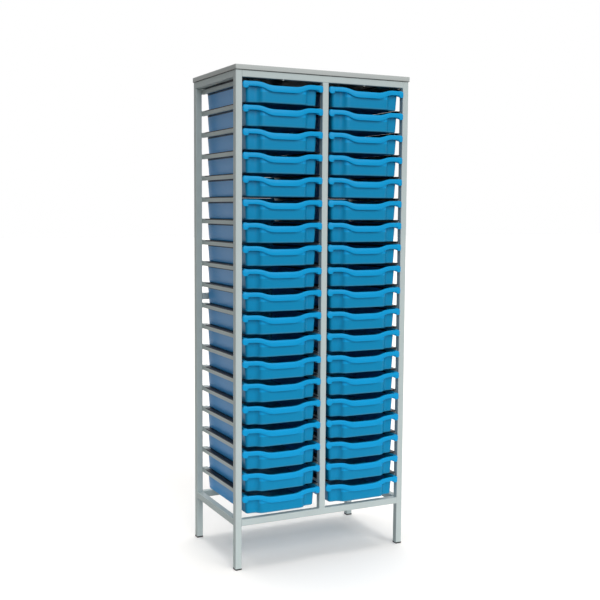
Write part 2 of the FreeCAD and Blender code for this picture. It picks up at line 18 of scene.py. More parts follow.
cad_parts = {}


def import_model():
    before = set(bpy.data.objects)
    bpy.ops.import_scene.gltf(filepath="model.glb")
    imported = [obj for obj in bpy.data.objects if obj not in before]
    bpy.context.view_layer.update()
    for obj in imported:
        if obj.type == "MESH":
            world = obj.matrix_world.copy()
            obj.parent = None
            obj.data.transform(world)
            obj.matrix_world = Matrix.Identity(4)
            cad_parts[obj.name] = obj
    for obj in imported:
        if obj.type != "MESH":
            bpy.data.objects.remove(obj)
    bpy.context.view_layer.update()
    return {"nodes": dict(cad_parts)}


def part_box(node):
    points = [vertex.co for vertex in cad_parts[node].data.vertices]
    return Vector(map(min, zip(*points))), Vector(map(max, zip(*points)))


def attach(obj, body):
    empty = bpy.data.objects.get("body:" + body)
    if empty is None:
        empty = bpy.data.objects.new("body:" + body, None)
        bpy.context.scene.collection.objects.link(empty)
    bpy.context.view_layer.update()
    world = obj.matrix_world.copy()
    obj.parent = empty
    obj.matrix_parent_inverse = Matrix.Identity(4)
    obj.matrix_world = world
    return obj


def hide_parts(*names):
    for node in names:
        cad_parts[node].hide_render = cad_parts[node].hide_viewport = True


LOG = logging.getLogger("tray_rack")
Number: TypeAlias = "float | Value"
Band: TypeAlias = tuple[float, float]
Point: TypeAlias = tuple[float, float, float]
Shade: TypeAlias = tuple[int, int, int]
Material: TypeAlias = bpy.types.Material
Piece: TypeAlias = bpy.types.Object
Socket: TypeAlias = bpy.types.NodeSocket
FRAME_BODY = "frame"
MM = 0.001
SEED_SHIFT = (1.0, 0.7, 0.3)


# --- shader maths
class Value:
    """A number that comes out of a shader node, with arithmetic that adds Math nodes."""

    def __init__(self, shader: Shader, socket: Socket) -> None:
        """Keep the socket and the tree that it belongs to."""
        self.shader = shader
        self.socket = socket

    def __add__(self, other: Number) -> Value:
        """Sum."""
        return self.shader.maths("ADD", self, other)

    __radd__ = __add__

    def __sub__(self, other: Number) -> Value:
        """Difference."""
        return self.shader.maths("SUBTRACT", self, other)

    def __rsub__(self, other: Number) -> Value:
        """Difference with the value second."""
        return self.shader.maths("SUBTRACT", other, self)

    def __mul__(self, other: Number) -> Value:
        """Product."""
        return self.shader.maths("MULTIPLY", self, other)

    __rmul__ = __mul__

    def __abs__(self) -> Value:
        """Size without its sign."""
        return self.shader.maths("ABSOLUTE", self)

    def between(self, low: float, high: float) -> Value:
        """Eased share of the way from low to high, held to 0 and 1. High may be under low."""
        node = self.shader.node("ShaderNodeMapRange", {"interpolation_type": "SMOOTHSTEP"},
                                {0: self, 1: low, 2: high, 3: 0.0, 4: 1.0})
        return Value(self.shader, node.outputs[0])


class Shader:
    """The node tree of a material or of the world, and the few ways this file adds to it."""

    def __init__(self, owner: Material | bpy.types.World) -> None:
        """Empty the owner's node tree, ready for its own nodes."""
        self.owner = owner
        owner.use_nodes = True
        self.tree = owner.node_tree
        self.tree.nodes.clear()

    @classmethod
    def named(cls, name: str) -> Shader:
        """Start a new material."""
        return cls(bpy.data.materials.new(name))

    def node(self, kind: str, settings: dict[str, object] | None = None,
             inputs: dict[int | str, object] | None = None) -> bpy.types.Node:
        """Add a node of any type.

        Args:
            kind: The node's type, such as ShaderNodeTexNoise.
            settings: Properties of the node, set before its sockets.
            inputs: Values or links of its sockets, by number or name.

        Returns:
            The node.
        """
        node = self.tree.nodes.new(kind)
        for name, setting in (settings or {}).items():
            setattr(node, name, setting)
        for key, value in (inputs or {}).items():
            socket = node.inputs[key]
            if isinstance(value, Value):
                self.tree.links.new(value.socket, socket)
            elif isinstance(value, Socket):
                self.tree.links.new(value, socket)
            else:
                socket.default_value = value
        return node

    def maths(self, operation: str, first: Number, second: Number = 0.0) -> Value:
        """Result of one Math node, such as MULTIPLY, on one or two operands."""
        node = self.node("ShaderNodeMath", {"operation": operation}, {0: first, 1: second})
        return Value(self, node.outputs[0])

    def place(self) -> Socket:
        """Coordinates fixed to the piece, in metres."""
        return self.node("ShaderNodeTexCoord").outputs["Object"]

    def normal(self) -> Socket:
        """Direction in which the surface faces."""
        return self.node("ShaderNodeNewGeometry").outputs["Normal"]

    def axis(self, vector: Socket, index: int) -> Value:
        """The X, Y or Z part of a vector, for index 0, 1 or 2."""
        parts = self.node("ShaderNodeSeparateXYZ", inputs={0: vector})
        return Value(self, parts.outputs[index])

    def noise(self, cell: float, detail: float = 2.0, seed: float = 0.0,
              stretch: Point = (1.0, 1.0, 1.0)) -> Value:
        """Soft noise from 0 to 1 over the piece.

        Args:
            cell: Size of its features in metres.
            detail: Number of finer octaves.
            seed: Shifts the pattern.
            stretch: How many times longer the features are along each axis.

        Returns:
            The noise.
        """
        mapped = self.node("ShaderNodeMapping", inputs={
            "Vector": self.place(), "Scale": tuple(1.0 / part for part in stretch),
            "Location": tuple(seed * part for part in SEED_SHIFT)})
        noise = self.node("ShaderNodeTexNoise", inputs={
            "Vector": mapped.outputs[0], "Scale": 1.0 / cell, "Detail": detail})
        return Value(self, noise.outputs[0])

    def mix(self, share: Number, first: object, second: object) -> Socket:
        """Mix two colours or links: share is how much of the second one shows."""
        node = self.node("ShaderNodeMix", {"data_type": "RGBA"}, {0: share, 6: first, 7: second})
        return node.outputs[2]

    def surface(self, colour: object, roughness: Number, height: Value | None = None,
                depth: float = 0.0, more: dict[str, object] | None = None) -> Material:
        """Finish the material with one principled surface.

        Args:
            colour: Base colour, or its link.
            roughness: Roughness, or its link.
            height: Relief from 0 to 1, if the surface has one.
            depth: Height of that relief in metres.
            more: Values or links of other sockets, by name.

        Returns:
            The finished material.
        """
        inputs = {"Base Color": colour, "Roughness": roughness, **(more or {})}
        if height is not None:
            bump = self.node("ShaderNodeBump", inputs={"Height": height, "Distance": depth,
                                                       "Strength": 1.0})
            inputs["Normal"] = bump.outputs[0]
        shader = self.node("ShaderNodeBsdfPrincipled", inputs=inputs)
        self.node("ShaderNodeOutputMaterial", inputs={"Surface": shader.outputs[0]})
        return self.owner


def rgb(red: int, green: int, blue: int) -> tuple[float, float, float, float]:
    """A screen colour, 0 to 255 in each part, as linear light for a node socket."""
    parts = [part / 255 for part in (red, green, blue)]
    linear = [part / 12.92 if part <= 0.04045 else ((part + 0.055) / 1.055) ** 2.4
              for part in parts]
    return (*linear, 1.0)


def grey(level: float) -> tuple[float, float, float, float]:
    """A neutral colour of a linear level."""
    return (level, level, level, 1.0)


# --- finishes
@dataclass(frozen=True)
class Finish:
    """What all finishes share: two shades, a roughness that varies, a relief and a gloss."""

    light: Shade
    dark: Shade
    roughness: float
    swing: float
    relief: float
    gloss: float = 0.5

    def shades(self, shader: Shader, share: Number) -> Socket:
        """The dark shade with this share of the light one."""
        return shader.mix(share, rgb(*self.dark), rgb(*self.light))

    def surface(self, shader: Shader, colour: Socket, cloud: Value, grain: Value,
                more: dict[str, object] | None = None) -> Material:
        """Close the material.

        Args:
            shader: The finish's node tree.
            colour: The colour's link.
            cloud: From 0 to 1, what the roughness varies with.
            grain: From 0 to 1, the relief.
            more: Values or links of other sockets, by name.

        Returns:
            The finished material.
        """
        return shader.surface(colour, self.roughness + self.swing * cloud, grain, self.relief,
                              {"Specular IOR Level": self.gloss, **(more or {})})


@dataclass(frozen=True)
class PowderCoat(Finish):
    """Satin silver-grey powder coat on steel, with painted shade where the board meets the frame.
    """

    light: Shade = (186, 197, 196)
    dark: Shade = (176, 187, 186)
    roughness: float = 0.46
    swing: float = 0.1
    relief: float = 0.035 * MM
    gloss: float = 0.2
    peel: float = 1.3 * MM
    drift: float = 90 * MM
    smear: float = 14 * MM
    fleck: Shade = (225, 230, 228)
    fleck_size: float = 0.7 * MM
    fleck_share: float = 0.16
    fleck_band: Band = (0.56, 0.7)
    # painted shade: a dark band on the frame's top edge, for the shadow under the board's
    # overhang
    painted_shade: Shade = (84, 88, 88)
    joint_height: float = 1832 * MM
    painted_shade_width: float = 2 * MM
    painted_shade_cover: float = 0.8
    name: str = "powder_coat"

    def painted_shade_share(self, shader: Shader) -> Value:
        """0 away from the joint, and more where the painted shade under the board's overhang
        lies.
        """
        level = shader.axis(shader.place(), 2)
        return self.painted_shade_cover * level.between(self.joint_height - self.painted_shade_width,
                                                self.joint_height)

    def material(self) -> Material:
        """Build the finish."""
        shader = Shader.named(self.name)
        fleck = shader.noise(self.fleck_size, detail=0.0, seed=3.0).between(*self.fleck_band)
        colour = self.shades(shader, shader.noise(self.drift, detail=3.0))
        colour = shader.mix(fleck * self.fleck_share, colour, rgb(*self.fleck))
        # painted shade: at the board joint here, and on the runners' upper flanges in RunnerCoat
        colour = shader.mix(self.painted_shade_share(shader), colour, rgb(*self.painted_shade))
        return self.surface(shader, colour, shader.noise(self.smear, seed=5.0),
                            shader.noise(self.peel, detail=1.0, seed=7.0))


@dataclass(frozen=True)
class RunnerCoat(PowderCoat):
    """The same coat on the runners, with painted shade, near black, on each upper flange.

    The painted shade starts at the ledge's height over a runner's lower edge, and ends behind the
    trays.
    """

    # painted shade: a near-black band for the shadow in the gap between runner and tray
    painted_shade: Shade = (5, 15, 30)
    lowest: float = 273.5 * MM
    pitch: float = 84 * MM
    ledge: float = 14.2 * MM
    ledge_edge: float = 1 * MM
    ledge_back: float = 150 * MM
    ledge_fade: float = 30 * MM
    name: str = "runner_coat"

    def painted_shade_share(self, shader: Shader) -> Value:
        """0 off the flanges, 1 where the upper flanges carry the painted shade."""
        place = shader.place()
        levels = (shader.axis(place, 2) - self.lowest) * (1 / self.pitch)
        height = shader.maths("FRACT", levels) * self.pitch
        beside = shader.axis(place, 1).between(self.ledge_back + self.ledge_fade, self.ledge_back)
        return beside * height.between(self.ledge - self.ledge_edge / 2,
                                       self.ledge + self.ledge_edge / 2)


@dataclass(frozen=True)
class BoardFace(Finish):
    """Pale grey melamine face with a fine pearl texture, and painted shade, near black, on the
    faces that point down.
    """

    light: Shade = (190, 195, 193)
    dark: Shade = (181, 186, 184)
    painted_underside_shade: Shade = (20, 20, 20)
    roughness: float = 0.46
    swing: float = 0.1
    relief: float = 0.03 * MM
    gloss: float = 0.25
    cloud: float = 60 * MM
    pearl: float = 0.9 * MM
    downward: Band = (-0.6, -0.9)

    def material(self) -> Material:
        """Build the finish."""
        shader = Shader.named("board_face")
        pearl = shader.noise(self.pearl, detail=1.0, seed=2.0)
        colour = self.shades(shader, shader.noise(self.cloud, detail=4.0))
        # painted shade: faces that point down turn near black, for the shade under the board
        downward = shader.axis(shader.normal(), 2).between(*self.downward)
        colour = shader.mix(downward, colour, rgb(*self.painted_underside_shade))
        return self.surface(shader, colour, pearl, pearl)


@dataclass(frozen=True)
class EdgeBand(Finish):
    """Plain grey edge band, a little smoother than the board's face, with painted shade along its
    lower edge.
    """

    light: Shade = (182, 187, 185)
    dark: Shade = (174, 179, 177)
    # painted shade: a dark band at the joint with the frame
    painted_shade: Shade = (84, 86, 84)
    roughness: float = 0.44
    swing: float = 0.08
    relief: float = 0.02 * MM
    gloss: float = 0.2
    streak: float = 5 * MM
    streak_run: Point = (12.0, 12.0, 0.5)
    grain: float = 1.6 * MM
    joint_height: float = 1832 * MM
    painted_shade_width: float = 2.5 * MM
    painted_shade_cover: float = 0.8

    def material(self) -> Material:
        """Build the finish."""
        shader = Shader.named("edge_band")
        streak = shader.noise(self.streak, stretch=self.streak_run)
        # painted shade along the band's lower edge, for the shadow of the joint over the frame
        joint = shader.axis(shader.place(), 2).between(self.joint_height + self.painted_shade_width,
                                                       self.joint_height)
        colour = self.shades(shader, streak)
        colour = shader.mix(joint * self.painted_shade_cover, colour, rgb(*self.painted_shade))
        return self.surface(shader, colour, streak, shader.noise(self.grain, seed=4.0))


@dataclass(frozen=True)
class TrayPlastic(Finish):
    """Blue moulded plastic: brighter lip, plainer wall in painted shade and finely textured side
    walls.
    """

    light: Shade = (9, 155, 213)
    dark: Shade = (6, 150, 207)
    # painted shade: the wall below the lip is a darker copy of the lip's blue, for the lip's
    # shade
    wall: Shade = (7, 134, 181)
    # painted light: the side walls' paler blue, lighter towards the base, stands in for the light
    # on the sides
    side: Shade = (40, 145, 212)
    side_low: Shade = (64, 166, 238)
    # painted shadow: the runner's shadow across the top of the side walls
    side_painted_shadow: Shade = (3, 26, 46)
    # patchy wear and a painted highlight: the paler base edge stands in for the floor's light on
    # the rounded base
    wear_and_highlight: Shade = (66, 143, 176)
    inside: Shade = (14, 150, 198)
    roughness: float = 0.27
    swing: float = 0.08
    side_dullness: float = 1.75
    relief: float = 0.03 * MM
    gloss: float = 0.14
    side_gloss: float = 0.4
    side_blur: float = 0.3
    refraction: float = 1.49
    skin_top: float = -8 * MM
    lip_back: float = -217 * MM
    lip_low: float = -35 * MM
    flank_front: float = -160 * MM
    flank_fade: float = 15 * MM
    flank_top: float = -20 * MM
    runner_shadow_end: float = -15.5 * MM
    painted_shade_cover: float = 0.95
    base: float = -75 * MM
    sideways: Band = (0.82, 0.97)
    upward: Band = (0.6, 0.9)
    fade: float = 2 * MM
    lip_fade: float = 3 * MM
    worn_edge: float = 3.5 * MM
    least_wear: float = 0.35
    wear_swing: float = 0.4
    wear_band: Band = (0.2, 0.7)
    wear_size: float = 18 * MM
    flow_size: float = 45 * MM
    flow_run: Point = (2.5, 1.0, 1.0)
    scuff_size: float = 7 * MM
    scuff_run: Point = (1.0, 6.0, 1.0)
    grain: float = 0.8 * MM
    lip_grain: float = 0.3

    def side_colour(self, shader: Shader, level: Value, runner_shadow: Value) -> Socket:
        """Colour of the side walls: a paler tint painted lighter towards the base, with painted
        shadow under the runner.
        """
        # painted light: lighter towards the base, darker at the top where the runner and rim
        # shade it
        lower = level.between(self.flank_top, self.base)
        side = shader.mix(lower, rgb(*self.side), rgb(*self.side_low))
        return shader.mix(runner_shadow * self.painted_shade_cover, side, rgb(*self.side_painted_shadow))

    def material(self) -> Material:
        """Build the finish."""
        shader = Shader.named("tray_plastic")
        place, facing = shader.place(), shader.normal()
        depth, level = shader.axis(place, 1), shader.axis(place, 2)
        below_rim = level.between(self.skin_top + MM, self.skin_top)
        flank = abs(shader.axis(facing, 0)).between(*self.sideways) * below_rim \
            * depth.between(self.flank_front, self.flank_front + self.flank_fade)
        on_lip = depth.between(self.lip_back, self.lip_back - self.fade) \
            * level.between(self.lip_low - self.lip_fade, self.lip_low)
        # painted shadow band under each runner, which also gets no clear coat
        runner_shadow = level.between(self.runner_shadow_end, self.runner_shadow_end + self.fade)
        floor_side = shader.axis(facing, 2).between(*self.upward) * below_rim
        flow = shader.noise(self.flow_size, detail=3.0, stretch=self.flow_run)
        # everything off the lip takes the wall's painted-shade colour
        colour = shader.mix(on_lip, rgb(*self.wall), self.shades(shader, flow))
        colour = shader.mix(flank, colour, self.side_colour(shader, level, runner_shadow))
        wear = shader.noise(self.wear_size, detail=3.0, seed=6.0).between(*self.wear_band)
        # paler base edge on the front: patchy wear plus a painted highlight
        wear_and_highlight = level.between(self.base + 2 * self.worn_edge, self.base + self.worn_edge)
        wear_and_highlight = wear_and_highlight * (1 - flank) * (self.least_wear + self.wear_swing * wear)
        colour = shader.mix(wear_and_highlight, colour, rgb(*self.wear_and_highlight))
        colour = shader.mix(floor_side, colour, rgb(*self.inside))
        grain = shader.noise(self.grain, detail=1.0, seed=9.0)
        scuff = shader.noise(self.scuff_size, detail=3.0, seed=1.5, stretch=self.scuff_run)
        relief = grain * (self.lip_grain + (1 - self.lip_grain) * flank)
        return self.surface(shader, colour, scuff + self.side_dullness * flank, relief, {
            "Coat Weight": self.side_gloss * flank * (1 - runner_shadow),
            "Coat Roughness": self.side_blur, "IOR": self.refraction})


@dataclass(frozen=True)
class GlidePlastic(Finish):
    """Black moulded plastic of the feet, matt and lightly scuffed towards the floor."""

    light: Shade = (74, 75, 76)
    dark: Shade = (30, 31, 32)
    roughness: float = 0.48
    swing: float = 0.2
    relief: float = 0.04 * MM
    gloss: float = 0.4
    scuff_height: float = 4 * MM
    scuff_share: float = 0.7
    scuff_size: float = 2.5 * MM
    scuff_band: Band = (0.45, 0.75)
    grain: float = 0.6 * MM

    def material(self) -> Material:
        """Build the finish."""
        shader = Shader.named("glide_plastic")
        low = shader.axis(shader.place(), 2).between(self.scuff_height, 0.0)
        scuff = shader.noise(self.scuff_size, detail=4.0).between(*self.scuff_band)
        colour = self.shades(shader, scuff * low * self.scuff_share)
        return self.surface(shader, colour, scuff, shader.noise(self.grain))


@dataclass(frozen=True)
class ZincSteel(Finish):
    """Bright zinc-plated steel of the screws."""

    light: Shade = (196, 198, 192)
    dark: Shade = (158, 160, 158)
    roughness: float = 0.3
    swing: float = 0.15
    relief: float = 0.01 * MM
    cloud: float = 2 * MM

    def material(self) -> Material:
        """Build the finish."""
        shader = Shader.named("zinc_steel")
        cloud = shader.noise(self.cloud, detail=3.0)
        return self.surface(shader, self.shades(shader, cloud), cloud, cloud, {"Metallic": 1.0})


# --- mesh helpers
def sway(at: float, start: float, end: float, low: float, high: float) -> float:
    """Height of an S of two equal tangent arcs, level before its start and after its end.

    Args:
        at: Where the height is wanted.
        start: Where the S leaves the first level.
        end: Where it arrives at the second level.
        low: The first level.
        high: The second level.

    Returns:
        The height there.
    """
    run, rise = end - start, high - low
    if at <= start or run <= 0:
        return low
    if at >= end:
        return high
    radius = (run ** 2 + rise ** 2) / (4 * abs(rise))
    from_end = min(at - start, end - at)
    climb = math.copysign(radius - math.sqrt(radius ** 2 - from_end ** 2), rise)
    return low + climb if at - start < end - at else high - climb


def new_piece(name: str, points: Sequence[Point], faces: Sequence[Sequence[int]],
              material: Material, sharp: float = 35.0) -> Piece:
    """Make a smooth-shaded mesh object with outward normals.

    Args:
        name: The piece's name.
        points: Its corners in metres.
        faces: The corner numbers of each face.
        material: Its finish.
        sharp: Edges that turn more than this, in degrees, stay crisp.

    Returns:
        The object, linked to the scene.
    """
    mesh = bpy.data.meshes.new(name)
    mesh.from_pydata(points, [], faces)
    work = bmesh.new()
    work.from_mesh(mesh)
    bmesh.ops.recalc_face_normals(work, faces=work.faces)
    for face in work.faces:
        face.smooth = True
    work.to_mesh(mesh)
    work.free()
    mesh.set_sharp_from_angle(angle=math.radians(sharp))
    mesh.materials.append(material)
    piece = bpy.data.objects.new(name, mesh)
    bpy.context.scene.collection.objects.link(piece)
    return piece


def lofted(rings: Sequence[Sequence[Point]], closed: bool = False) -> tuple[list[Point], list]:
    """Points and faces of a skin over rings of equal count.

    Args:
        rings: The rings in order.
        closed: Join the last ring to the first, in place of two end faces.

    Returns:
        The points, and the corner numbers of each face.
    """
    count = len(rings[0])
    points = [point for ring in rings for point in ring]
    faces = []
    pairs = [(number, number + 1) for number in range(len(rings) - 1)]
    if closed:
        pairs.append((len(rings) - 1, 0))
    for first, second in pairs:
        for step in range(count):
            after = (step + 1) % count
            faces.append((first * count + step, first * count + after,
                          second * count + after, second * count + step))
    if not closed:
        faces.append(tuple(range(count)))
        faces.append(tuple((len(rings) - 1) * count + step for step in range(count)))
    return points, faces


def quarter_turn(steps: int) -> list[tuple[float, float]]:
    """Sine and cosine at even steps from 0 to 90 degrees, both ends included."""
    angles = [math.pi / 2 * step / steps for step in range(steps + 1)]
    return [(math.sin(angle), math.cos(angle)) for angle in angles]


# --- trays
class Stretch(Enum):
    """Stretches of half a tray's outline, front middle to rear: place in the order, and steps.

    The knob's three stations are the outer and the inner back corner of the lip's end stub, and
    the start of the side rim.
    """

    FRONT = (0, 32)
    WING = (1, 26)
    CORNER = (2, 8)
    KNOB = (3, 3)
    SIDE = (4, 6)
    REAR_CORNER = (5, 8)
    REAR = (6, 6)

    @property
    def steps(self) -> int:
        """How many stations it has."""
        return self.value[1]


@dataclass(frozen=True)
class Station:
    """One place on the outline: a stretch and how far along it."""

    stretch: Stretch
    share: float


def eased(at: float, low: float, high: float) -> float:
    """Share of the way from low to high, held to 0 and 1 and eased at both ends."""
    share = min(1.0, max(0.0, (at - low) / (high - low)))
    return share * share * (3 - 2 * share)


def part_way(first: Sequence[float], second: Sequence[float], share: float) -> tuple[float, ...]:
    """The point a share of the way from one point to another."""
    return tuple(a + (b - a) * share for a, b in zip(first, second))


@dataclass
class TrayShell:
    """A moulded tray in its own frame: rim top at Z 0, bay centre at X 0, frame middle at Y 0."""

    height: float = 75 * MM
    wall: float = 2 * MM
    half_top: float = 144.5 * MM
    half_base: float = 139.5 * MM
    wall_front: float = -227 * MM
    wing_step: float = 18 * MM
    front_draft: float = 2.5 * MM
    step_inner: float = 76 * MM
    step_outer: float = 112 * MM
    front_corner: float = 12 * MM
    knob_run: float = 2 * MM
    rear_corner: float = 14 * MM
    rear_draft: float = 4 * MM
    rear_crowding: int = 3
    base_radius: float = 5 * MM
    foot_inset: float = 3 * MM
    foot_height: float = 0.8 * MM
    rim_half: float = 156 * MM
    rim_rear: float = 191 * MM
    rim_width: float = 5 * MM
    rim_skirt: float = 6.8 * MM
    rim_edge: float = 1.2 * MM
    stop_rise: float = 7.5 * MM
    stop_crown: float = 1 * MM
    stop_reach: float = 8 * MM
    lip_half: float = 162 * MM
    lip_tip: float = -236 * MM
    lip_bow: float = 12 * MM
    stub_back: float = -217 * MM
    stub_softness: float = 0.3
    lip_edge: float = 2.2 * MM
    lip_plan_corner: float = 6 * MM
    lip_corner: float = 9 * MM
    lip_high: float = -1.5 * MM
    lip_dip: float = -13.5 * MM
    low_end: float = -26 * MM
    low_flank: float = -18 * MM
    low_middle: float = -36 * MM
    wave_inner: float = 38 * MM
    wave_outer: float = 114 * MM
    end_stub: float = 15 * MM
    end_stub_turn: float = 8 * MM
    pocket_start: float = 88 * MM
    pocket_blend: float = 8 * MM
    pocket_floor: float = -15.5 * MM
    pocket_corner: float = 4 * MM
    pocket_turn: float = 0.05
    lip_bead: float = 5 * MM
    bead: float = 0.8 * MM
    hair: float = 0.1 * MM
    stations: list[Station] = field(default_factory=list)

    def __post_init__(self) -> None:
        """Lay out the stations of half the outline."""
        self.stations = [Station(Stretch.FRONT, 0.0)]
        for stretch in Stretch:
            self.stations += [Station(stretch, (step + 1) / stretch.steps)
                              for step in range(stretch.steps)]

    def wall_point(self, station: Station, z: float, inset: float) -> tuple[float, float]:
        """Plan of the tray's wall at a station.

        Args:
            station: Where on the outline.
            z: Height, 0 at the rim.
            inset: How far in from the wall's outer face.

        Returns:
            X and Y there.
        """
        drop = -z / self.height
        half = self.half_top + (self.half_base - self.half_top) * drop - inset
        middle = self.wall_front + self.front_draft * drop + inset
        wing = middle + self.wing_step
        rear = self.rim_rear - self.rim_width - self.rear_draft * drop - inset
        front_round, rear_round = self.front_corner - inset, self.rear_corner - inset
        turn = math.pi / 2 * station.share
        side_start = wing + front_round
        knob_end = side_start + self.knob_run
        match station.stretch:
            case Stretch.FRONT:
                x = self.step_outer * station.share
                return x, sway(x, self.step_inner, self.step_outer, middle, wing)
            case Stretch.WING:
                run = half - front_round - self.step_outer
                return self.step_outer + run * station.share, wing
            case Stretch.CORNER:
                return (half - front_round * (1 - math.sin(turn)),
                        wing + front_round * (1 - math.cos(turn)))
            case Stretch.KNOB:
                return half, side_start + (knob_end - side_start) * station.share
            case Stretch.SIDE:
                return half, knob_end + (rear - rear_round - knob_end) * station.share
            case Stretch.REAR_CORNER:
                return (half - rear_round * (1 - math.cos(turn)),
                        rear - rear_round * (1 - math.sin(turn)))
            case Stretch.REAR:
                return (half - rear_round) * (1 - station.share ** self.rear_crowding), rear

    def lip_front(self, x: float) -> float:
        """Y of the lip's bowed front at a distance from the tray's middle."""
        half = self.lip_half - self.lip_plan_corner
        radius = (half ** 2 + self.lip_bow ** 2) / (2 * self.lip_bow)
        return self.lip_tip + radius - math.sqrt(radius ** 2 - x ** 2)

    def rim_point(self, station: Station, inset: float) -> tuple[float, float]:
        """Plan of the outer edge of the lip and rim at a station.

        Args:
            station: Where on the outline.
            inset: How far in from the edge.

        Returns:
            X and Y there.
        """
        round_start = self.lip_half - self.lip_plan_corner
        rear_round = self.rear_corner + self.rim_width
        turn = math.pi / 2 * station.share
        match station.stretch:
            case Stretch.FRONT:
                x = self.step_outer * station.share
                return x, self.lip_front(x) + inset
            case Stretch.WING:
                x = self.step_outer + (round_start - self.step_outer) * station.share
                return x, self.lip_front(x) + inset
            case Stretch.CORNER:
                reach = self.lip_plan_corner - inset
                centre = self.lip_front(round_start) + self.lip_plan_corner
                return round_start + reach * math.sin(turn), centre - reach * math.cos(turn)
            case Stretch.KNOB:
                if not self.on_lip(station):
                    return self.rim_half - inset, self.stub_back + self.hair
                half = self.lip_half if station.share < 0.5 else self.rim_half
                return half - inset, self.stub_back - inset * self.stub_softness
            case Stretch.SIDE:
                start, end = self.stub_back + 2 * self.hair, self.rim_rear - rear_round
                return self.rim_half - inset, start + (end - start) * station.share
            case Stretch.REAR_CORNER:
                reach = rear_round - inset
                return (self.rim_half - rear_round + reach * math.cos(turn),
                        self.rim_rear - rear_round + reach * math.sin(turn))
            case Stretch.REAR:
                run = self.rim_half - rear_round
                return run * (1 - station.share ** self.rear_crowding), self.rim_rear - inset

    def pocket_point(self, station: Station, outset: float) -> tuple[float, float]:
        """Plan of the pocket behind the lip's high stretch, along the back of the lip's bead.

        Args:
            station: Where on the outline, up to the end stub's back.
            outset: How far out from the pocket's face.

        Returns:
            X and Y there.
        """
        turn_start = self.half_top - self.wall - self.pocket_corner
        centre = self.lip_front(turn_start) + self.lip_bead + self.pocket_corner
        if station.stretch is Stretch.KNOB:
            return (self.half_top - self.wall + outset,
                    centre + (self.stub_back - centre) * station.share)
        if station.stretch is Stretch.CORNER:
            turn = math.pi / 2 * station.share
            reach = self.pocket_corner + outset
            return turn_start + reach * math.sin(turn), centre - reach * math.cos(turn)
        x = self.step_outer * station.share
        if station.stretch is Stretch.WING:
            x = self.step_outer + (turn_start - self.step_outer) * station.share
        return x, self.lip_front(x) + self.lip_bead - outset

    def pocket_share(self, station: Station) -> float:
        """1 at stations with the pocket, 0 at those without, eased where it starts."""
        if station.stretch is Stretch.FRONT:
            return eased(self.step_outer * station.share, self.pocket_start - self.pocket_blend,
                         self.pocket_start + self.pocket_blend)
        return 1.0 if station.stretch in (Stretch.WING, Stretch.CORNER, Stretch.KNOB) else 0.0

    def on_lip(self, station: Station) -> bool:
        """Whether a station belongs to the lip and its end stubs."""
        stub = station.stretch is Stretch.KNOB and station.share < 0.9
        return stub or station.stretch in (Stretch.FRONT, Stretch.WING, Stretch.CORNER)

    def end_round(self, x: float) -> float:
        """How far the lip's rounded end has fallen, seen from the front."""
        past = x - (self.lip_half - self.lip_corner)
        if past <= 0:
            return 0.0
        return self.lip_corner - math.sqrt(max(self.lip_corner ** 2 - past ** 2, 0.0))

    def top(self, station: Station, x: float) -> float:
        """Height of the tray's top at a station: wave, rounded ends and rear stop included."""
        if station.stretch in (Stretch.REAR_CORNER, Stretch.REAR):
            _, y = self.rim_point(station, 0.0)
            stop = self.stop_rise + self.stop_crown
            return stop if y > self.rim_rear - self.stop_reach else 0.0
        if not self.on_lip(station):
            return 0.0
        return sway(x, self.wave_inner, self.wave_outer, self.lip_dip, self.lip_high) \
            - self.end_round(x)

    def skirt(self, station: Station, x: float) -> float:
        """Height of the lower edge of the lip or rim at a station."""
        if not self.on_lip(station):
            return -self.rim_skirt
        if x < self.wave_outer:
            return sway(x, self.wave_inner, self.wave_outer, self.low_middle, self.low_flank)
        stub = self.lip_half - self.end_stub
        return sway(x, stub - self.end_stub_turn, stub, self.low_flank, self.low_end) \
            + self.end_round(x)

    def roof(self, station: Station, x: float) -> float:
        """Height of the underside behind the skirt: hollow in the middle and in the stubs."""
        if not self.on_lip(station):
            return -self.wall
        hollow = self.top(station, x) - self.wall
        solid = self.skirt(station, x) + self.hair
        start = self.pocket_start - 2 * self.wall
        share = eased(x, start - self.wall, start + self.wall)
        share -= eased(x, self.half_top, self.half_top + self.wall)
        return hollow + (solid - hollow) * share

    def root(self, station: Station) -> float:
        """Height at which the underside meets the wall's outer face."""
        if station.stretch is Stretch.FRONT:
            return self.roof(station, self.step_outer * station.share)
        stub = station.stretch is Stretch.KNOB and station.share < 0.5
        solid = stub or station.stretch in (Stretch.WING, Stretch.CORNER)
        return self.low_flank + self.hair if solid else -self.wall

    def edge(self, station: Station) -> float:
        """Rounding of the outer top edge, softer on the lip."""
        return self.lip_edge if self.on_lip(station) else self.rim_edge

    def on_wall(self, station: Station, z: float, inset: float) -> Point:
        """A point at this height and inset from the wall's outer face."""
        return (*self.wall_point(station, z, inset), z)

    def pocket_points(self, station: Station) -> list[Point]:
        """From the inner wall to the tray's top, round the pocket on the way."""
        bead, floor, steps = self.bead, self.pocket_floor, 4
        x, _ = self.wall_point(station, 0.0, self.wall)
        high = self.top(station, x) - bead
        plain = [self.on_wall(station, high - (steps - step) * bead / 2, self.wall)
                 for step in range(steps + 1)]
        share = self.pocket_share(station)
        if share == 0:
            return plain
        foot = self.on_wall(station, floor, self.wall)
        front = (*self.pocket_point(station, 0.0), floor)
        pocket = [(foot[0], foot[1], floor - bead), part_way(foot, front, self.pocket_turn),
                  part_way(foot, front, 1 - self.pocket_turn), (front[0], front[1], floor + bead),
                  (front[0], front[1], high)]
        return [part_way(first, second, share) for first, second in zip(plain, pocket)]

